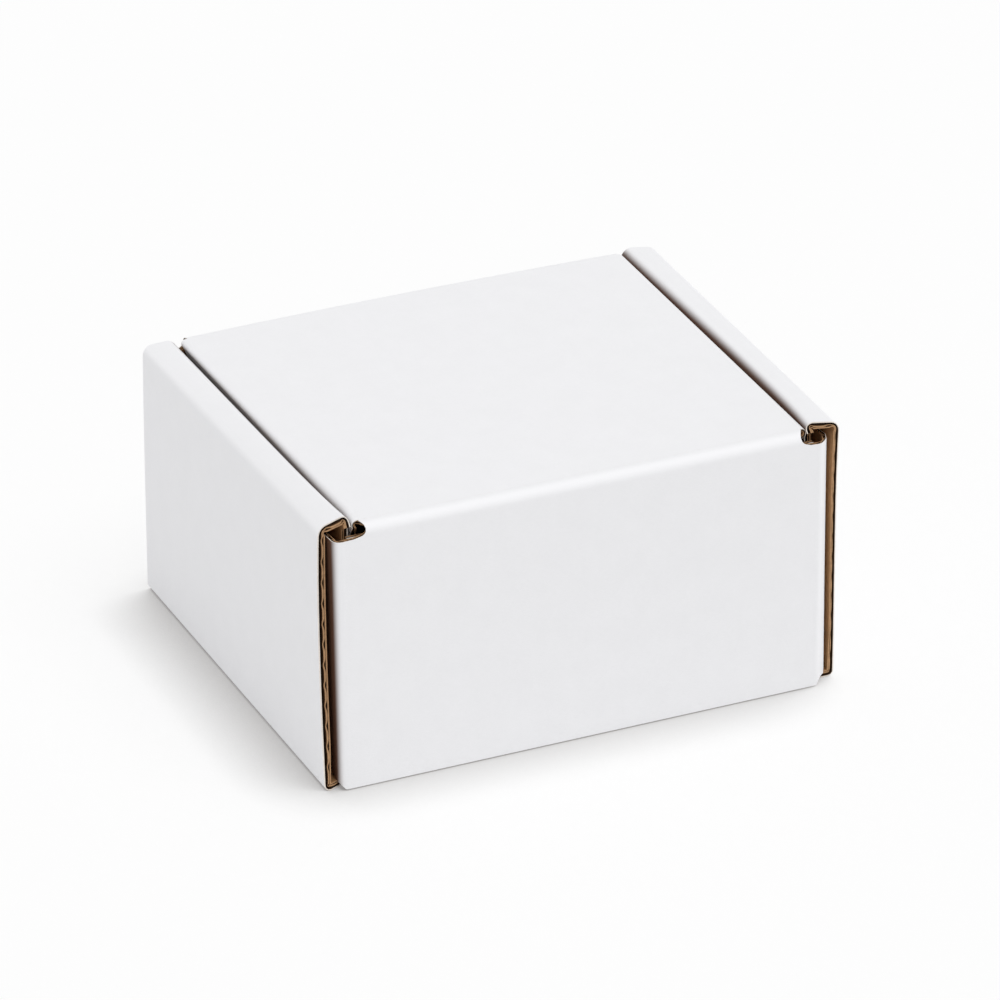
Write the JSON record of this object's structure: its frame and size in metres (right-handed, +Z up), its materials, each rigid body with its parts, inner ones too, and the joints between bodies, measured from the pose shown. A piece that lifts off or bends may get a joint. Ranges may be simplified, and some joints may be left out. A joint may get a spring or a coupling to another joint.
{
  "type": "corrugated mailer box",
  "caption": "Closed roll-end mailer box of fine-fluted white board: double rolled side walls, a lid, and a hinged front flap with locking ears.",
  "frame": {"origin": "on the floor, at the middle of the box's width and of its depth with the front flap", "axes": "+Z up, -Y towards the front flap, X across the box from one rolled side wall to the other"},
  "size_m": [0.112, 0.0918, 0.056],
  "materials": {
    "white_board": "matte white-lined corrugated board, smooth"
  },
  "bodies": {
    "tray": {"tray_and_lid": "white_board"},
    "flap": {"front_flap": "white_board"}
  },
  "joints": [
    {"name": "front_flap_crease", "type": "hinge", "parent": "tray", "child": "flap", "pos_m": [0, -0.04526, 0.05496], "axis": [-1, 0, 0], "range_deg": [0, 120]}
  ]
}
